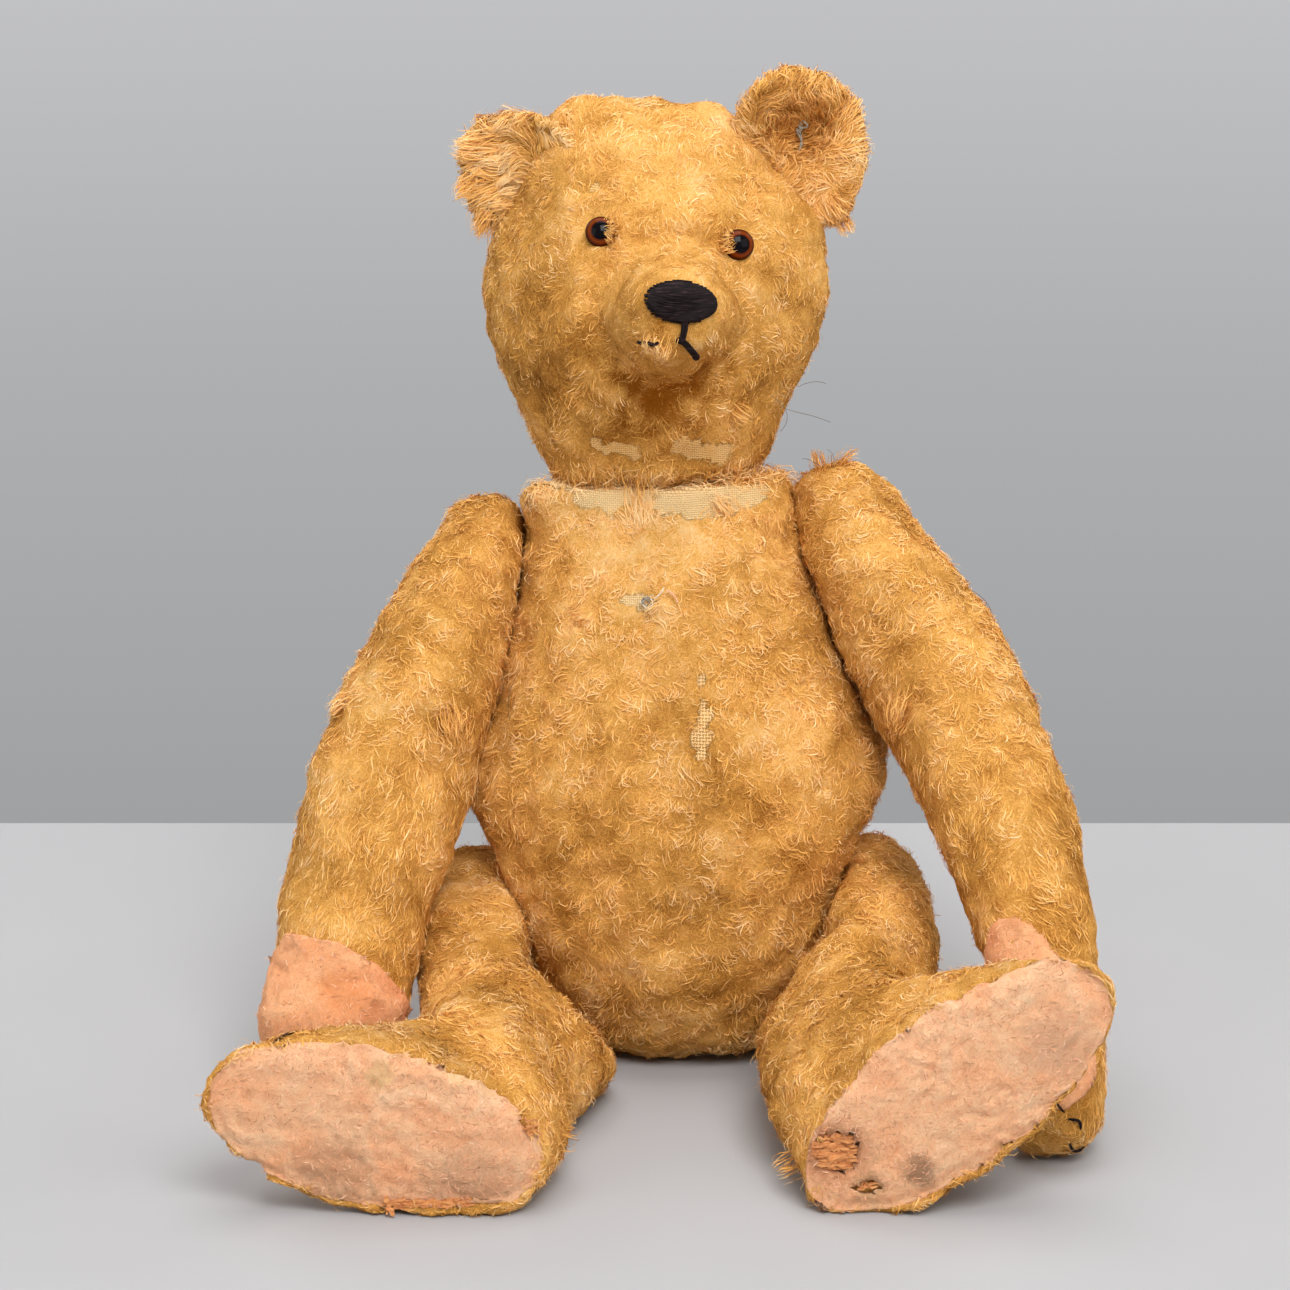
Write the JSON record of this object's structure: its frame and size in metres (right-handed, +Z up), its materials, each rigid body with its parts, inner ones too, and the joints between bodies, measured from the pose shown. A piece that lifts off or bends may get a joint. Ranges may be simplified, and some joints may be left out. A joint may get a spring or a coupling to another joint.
{
  "type": "teddy bear",
  "caption": "Threadbare jointed teddy bear sitting upright, with worn golden pile, felt paw pads and soles, glass eyes and a stitched nose.",
  "frame": {"origin": "on the flat of the seat, on the surface the bear sits on, below its middle", "axes": "+Z up; the bear faces -Y; +X is the side of the bear's own left arm, which is the viewer's right"},
  "size_m": [0.2341, 0.2212, 0.2697],
  "materials": {
    "mohair": "worn golden pile on a woven backing, matted and thin, bare in places, soiled",
    "ear_mohair": "worn golden pile, rubbed short inside the ears",
    "wood_wool": "packed fine wood shavings",
    "felt": "matte peach felt, worn through and stained",
    "cardboard": "matte pressed board",
    "steel": "dull, bare",
    "glass": "polished brown glass with a black pupil",
    "thread": "black embroidery thread with a slight sheen"
  },
  "bodies": {
    "torso": {"body_cover": "mohair", "body_stuffing": "wood_wool", "hip_left_body_disc": "cardboard", "hip_left_body_washer": "steel", "hip_left_cotter_pin": "steel", "hip_right_body_disc": "cardboard", "hip_right_body_washer": "steel", "hip_right_cotter_pin": "steel", "neck_body_disc": "cardboard", "neck_body_washer": "steel", "neck_cotter_pin": "steel", "shoulder_left_body_disc": "cardboard", "shoulder_left_body_washer": "steel", "shoulder_left_cotter_pin": "steel", "shoulder_right_body_disc": "cardboard", "shoulder_right_body_washer": "steel", "shoulder_right_cotter_pin": "steel"},
    "head": {"ear_left": "ear_mohair", "ear_right": "ear_mohair", "eye_left": "glass", "eye_right": "glass", "head_cover": "mohair", "head_stuffing": "wood_wool", "lip_stitch": "thread", "mouth_stitch": "thread", "neck_limb_disc": "cardboard", "neck_limb_washer": "steel", "nose_stitching": "thread"},
    "arm_left": {"arm_left_cover": "mohair", "arm_left_stuffing": "wood_wool", "paw_claws_left": "thread", "paw_pad_left": "felt", "shoulder_left_limb_disc": "cardboard", "shoulder_left_limb_washer": "steel"},
    "arm_right": {"arm_right_cover": "mohair", "arm_right_stuffing": "wood_wool", "paw_claws_right": "thread", "paw_pad_right": "felt", "shoulder_right_limb_disc": "cardboard", "shoulder_right_limb_washer": "steel"},
    "leg_left": {"foot_claws_left": "thread", "hip_left_limb_disc": "cardboard", "hip_left_limb_washer": "steel", "insole_board_left": "cardboard", "leg_left_cover": "mohair", "leg_left_stuffing": "wood_wool", "sole_pad_left": "felt"},
    "leg_right": {"foot_claws_right": "thread", "hip_right_limb_disc": "cardboard", "hip_right_limb_washer": "steel", "insole_board_right": "cardboard", "leg_right_cover": "mohair", "leg_right_stuffing": "wood_wool", "sole_pad_right": "felt"}
  },
  "joints": [
    {"name": "neck", "type": "hinge", "parent": "torso", "child": "head", "pos_m": [-0.00819, 0.03327, 0.15629], "axis": [-0.0512, 0.2079, 0.9768], "range_deg": [-60, 60]},
    {"name": "shoulder_left", "type": "hinge", "parent": "torso", "child": "arm_left", "pos_m": [-0.048, 0.0283, 0.1286], "axis": [0.9903, 0, -0.1392], "range_deg": [-105, 0]},
    {"name": "shoulder_right", "type": "hinge", "parent": "torso", "child": "arm_right", "pos_m": [0.0331, 0.0285, 0.1361], "axis": [0.9511, 0, 0.309], "range_deg": [-2, 155]},
    {"name": "hip_left", "type": "hinge", "parent": "torso", "child": "leg_left", "pos_m": [-0.0475, 0.004, 0.038], "axis": [0.9703, 0, 0.2419], "range_deg": [0, 100]},
    {"name": "hip_right", "type": "hinge", "parent": "torso", "child": "leg_right", "pos_m": [0.0419, 0.004, 0.04], "axis": [0.9781, 0, -0.2079], "range_deg": [-20, 100]}
  ]
}
